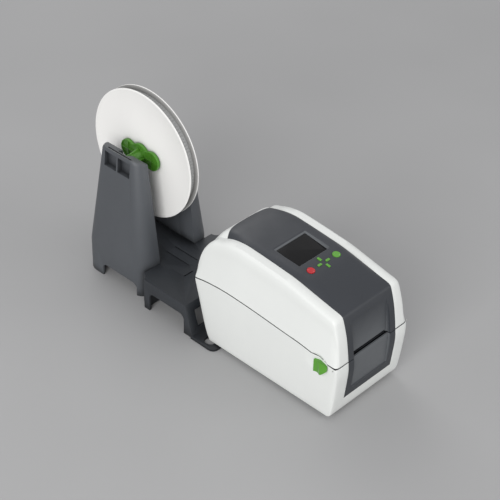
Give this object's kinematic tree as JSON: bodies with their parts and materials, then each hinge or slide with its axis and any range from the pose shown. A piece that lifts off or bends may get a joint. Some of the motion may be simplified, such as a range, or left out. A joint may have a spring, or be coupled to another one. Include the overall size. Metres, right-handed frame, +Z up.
{
  "type": "thermal transfer printer",
  "caption": "Desktop thermal transfer printer with a hinged cover, latches, keys and ribbon works, standing on a roll holder with a flanged reel of strip.",
  "frame": {"origin": "middle of the bounding box on the table", "axes": "+Z up, +Y from the printer's front to the reel behind it, +X to the right seen from the front; X = 0 is the plane of symmetry of the case and of the reel"},
  "size_m": [0.131, 0.4354, 0.243],
  "materials": {
    "white_shell": "fine satin",
    "dark_panel": "fine satin",
    "rubber_black": "matt",
    "board_green": "solder mask",
    "black_plastic": "satin",
    "steel": "plain",
    "grey_plastic": "satin",
    "gear_white": "natural moulded",
    "lever_green": "moulded gloss",
    "display_black": "glossy cover",
    "key_red": "moulded gloss",
    "key_green": "moulded gloss",
    "head_metal": "plain",
    "ribbon_black": "wound film",
    "holder_dark": "fine satin",
    "holder_grey": "fine satin",
    "reel_white": "fine satin",
    "strip_grey": "satin",
    "hub_green": "moulded satin"
  },
  "bodies": {
    "base": {"lower_case": "white_shell", "front_panel": "dark_panel", "rear_panel": "dark_panel", "rubber_feet": "rubber_black", "main_board": "board_green", "power_inlet": "black_plastic", "usb_port": "steel", "network_port": "steel", "media_frame": "grey_plastic", "platen_bushes": "black_plastic", "stepper_motor": "steel", "tear_bar": "steel", "label_sensor": "black_plastic", "case_screws": "steel", "hinge_pin": "steel", "holder_base": "holder_dark", "tower_left": "holder_grey", "tower_right": "holder_grey", "tower_screws": "steel"},
    "cover": {"upper_cover": "white_shell", "control_panel": "dark_panel", "display_glass": "display_black", "display_module": "steel", "console_board": "board_green", "ribbon_frame": "grey_plastic", "head_springs": "steel", "head_pin": "steel"},
    "platen": {"platen_roller": "rubber_black", "platen_shaft": "steel", "platen_gear": "gear_white"},
    "idler": {"idler_gear": "gear_white"},
    "pinion": {"motor_pinion": "steel"},
    "guide_l": {"guide_left": "dark_panel"},
    "guide_r": {"guide_right": "dark_panel"},
    "latch_l": {"latch_left": "lever_green"},
    "latch_r": {"latch_right": "lever_green"},
    "rocker": {"power_switch": "black_plastic"},
    "key_cancel": {"cancel_key": "key_red"},
    "key_confirm": {"confirm_key": "key_green"},
    "key_up": {"up_key": "key_green"},
    "key_down": {"down_key": "key_green"},
    "key_left": {"left_key": "key_green"},
    "key_right": {"right_key": "key_green"},
    "head": {"head_bracket": "steel", "thermal_head": "head_metal"},
    "supply": {"supply_spindle": "grey_plastic", "ribbon_roll": "ribbon_black"},
    "takeup": {"takeup_spindle": "grey_plastic", "takeup_roll": "ribbon_black"},
    "axle": {"reel_axle": "hub_green"},
    "reel": {"flange_left": "reel_white", "flange_right": "reel_white", "strip_core": "strip_grey", "strip_winding": "strip_grey", "hub_spool": "hub_green"},
    "wing": {"hub_wing": "hub_green"}
  },
  "joints": [
    {"name": "cover_hinge", "type": "hinge", "parent": "base", "child": "cover", "pos_m": [0, -0.00208, 0.0848], "axis": [-1, 0, 0], "range_deg": [0, 68]},
    {"name": "platen_spin", "type": "hinge", "parent": "base", "child": "platen", "pos_m": [0, -0.19767, 0.071], "axis": [1, 0, 0], "continuous": true},
    {"name": "idler_spin", "type": "hinge", "parent": "base", "child": "idler", "pos_m": [0.045, -0.18468, 0.05325], "axis": [1, 0, 0], "continuous": true},
    {"name": "pinion_spin", "type": "hinge", "parent": "base", "child": "pinion", "pos_m": [0.045, -0.17369, 0.04028], "axis": [1, 0, 0], "continuous": true},
    {"name": "guide_right_slide", "type": "slide", "parent": "base", "child": "guide_r", "axis": [1, 0, 0], "range_m": [-0.012, 0.008]},
    {"name": "guide_left_slide", "type": "slide", "parent": "base", "child": "guide_l", "axis": [-1, 0, 0], "range_m": [-0.012, 0.008]},
    {"name": "latch_left_turn", "type": "hinge", "parent": "base", "child": "latch_l", "pos_m": [-0.056, -0.19168, 0.0735], "axis": [-1, 0, 0], "range_deg": [0, 25], "stiffness_Nm_per_rad": 0.05, "springref_deg": -8.59},
    {"name": "latch_right_turn", "type": "hinge", "parent": "base", "child": "latch_r", "pos_m": [0.056, -0.19168, 0.0735], "axis": [-1, 0, 0], "range_deg": [0, 25], "stiffness_Nm_per_rad": 0.05, "springref_deg": -8.59},
    {"name": "switch_rock", "type": "hinge", "parent": "base", "child": "rocker", "pos_m": [-0.027, -0.01566, 0.04], "axis": [1, 0, 0], "range_deg": [0, 14]},
    {"name": "cancel_key_press", "type": "slide", "parent": "cover", "child": "key_cancel", "axis": [0, 0.1219, -0.9925], "range_m": [0, 0.0008], "stiffness_N_per_m": 150, "springref_m": -0.001},
    {"name": "confirm_key_press", "type": "slide", "parent": "cover", "child": "key_confirm", "axis": [0, 0.1219, -0.9925], "range_m": [0, 0.0008], "stiffness_N_per_m": 150, "springref_m": -0.001},
    {"name": "up_key_press", "type": "slide", "parent": "cover", "child": "key_up", "axis": [0, 0.1219, -0.9925], "range_m": [0, 0.0008], "stiffness_N_per_m": 150, "springref_m": -0.001},
    {"name": "down_key_press", "type": "slide", "parent": "cover", "child": "key_down", "axis": [0, 0.1219, -0.9925], "range_m": [0, 0.0008], "stiffness_N_per_m": 150, "springref_m": -0.001},
    {"name": "left_key_press", "type": "slide", "parent": "cover", "child": "key_left", "axis": [0, 0.1219, -0.9925], "range_m": [0, 0.0008], "stiffness_N_per_m": 150, "springref_m": -0.001},
    {"name": "right_key_press", "type": "slide", "parent": "cover", "child": "key_right", "axis": [0, 0.1219, -0.9925], "range_m": [0, 0.0008], "stiffness_N_per_m": 150, "springref_m": -0.001},
    {"name": "head_lift", "type": "hinge", "parent": "cover", "child": "head", "pos_m": [0, -0.17167, 0.094], "axis": [-1, 0, 0], "range_deg": [0, 3], "stiffness_Nm_per_rad": 0.5, "springref_deg": -11.46},
    {"name": "supply_spin", "type": "hinge", "parent": "cover", "child": "supply", "pos_m": [0, -0.10568, 0.106], "axis": [1, 0, 0], "continuous": true},
    {"name": "takeup_spin", "type": "hinge", "parent": "cover", "child": "takeup", "pos_m": [0, -0.15568, 0.112], "axis": [1, 0, 0], "continuous": true},
    {"name": "reel_lift", "type": "slide", "parent": "base", "child": "axle", "axis": [0, 0, 1], "range_m": [0, 0.03]},
    {"name": "reel_spin", "type": "hinge", "parent": "axle", "child": "reel", "pos_m": [0, 0.13633, 0.1617], "axis": [1, 0, 0], "continuous": true},
    {"name": "wing_turn", "type": "hinge", "parent": "reel", "child": "wing", "pos_m": [-0.009, 0.13633, 0.1617], "axis": [1, 0, 0], "range_deg": [0, 90]}
  ],
  "couplings": [
    {"joint": "idler_spin", "follows": "platen_spin", "ratio": -1.2},
    {"joint": "pinion_spin", "follows": "platen_spin", "ratio": 1.7143},
    {"joint": "guide_left_slide", "follows": "guide_right_slide", "ratio": 1}
  ]
}
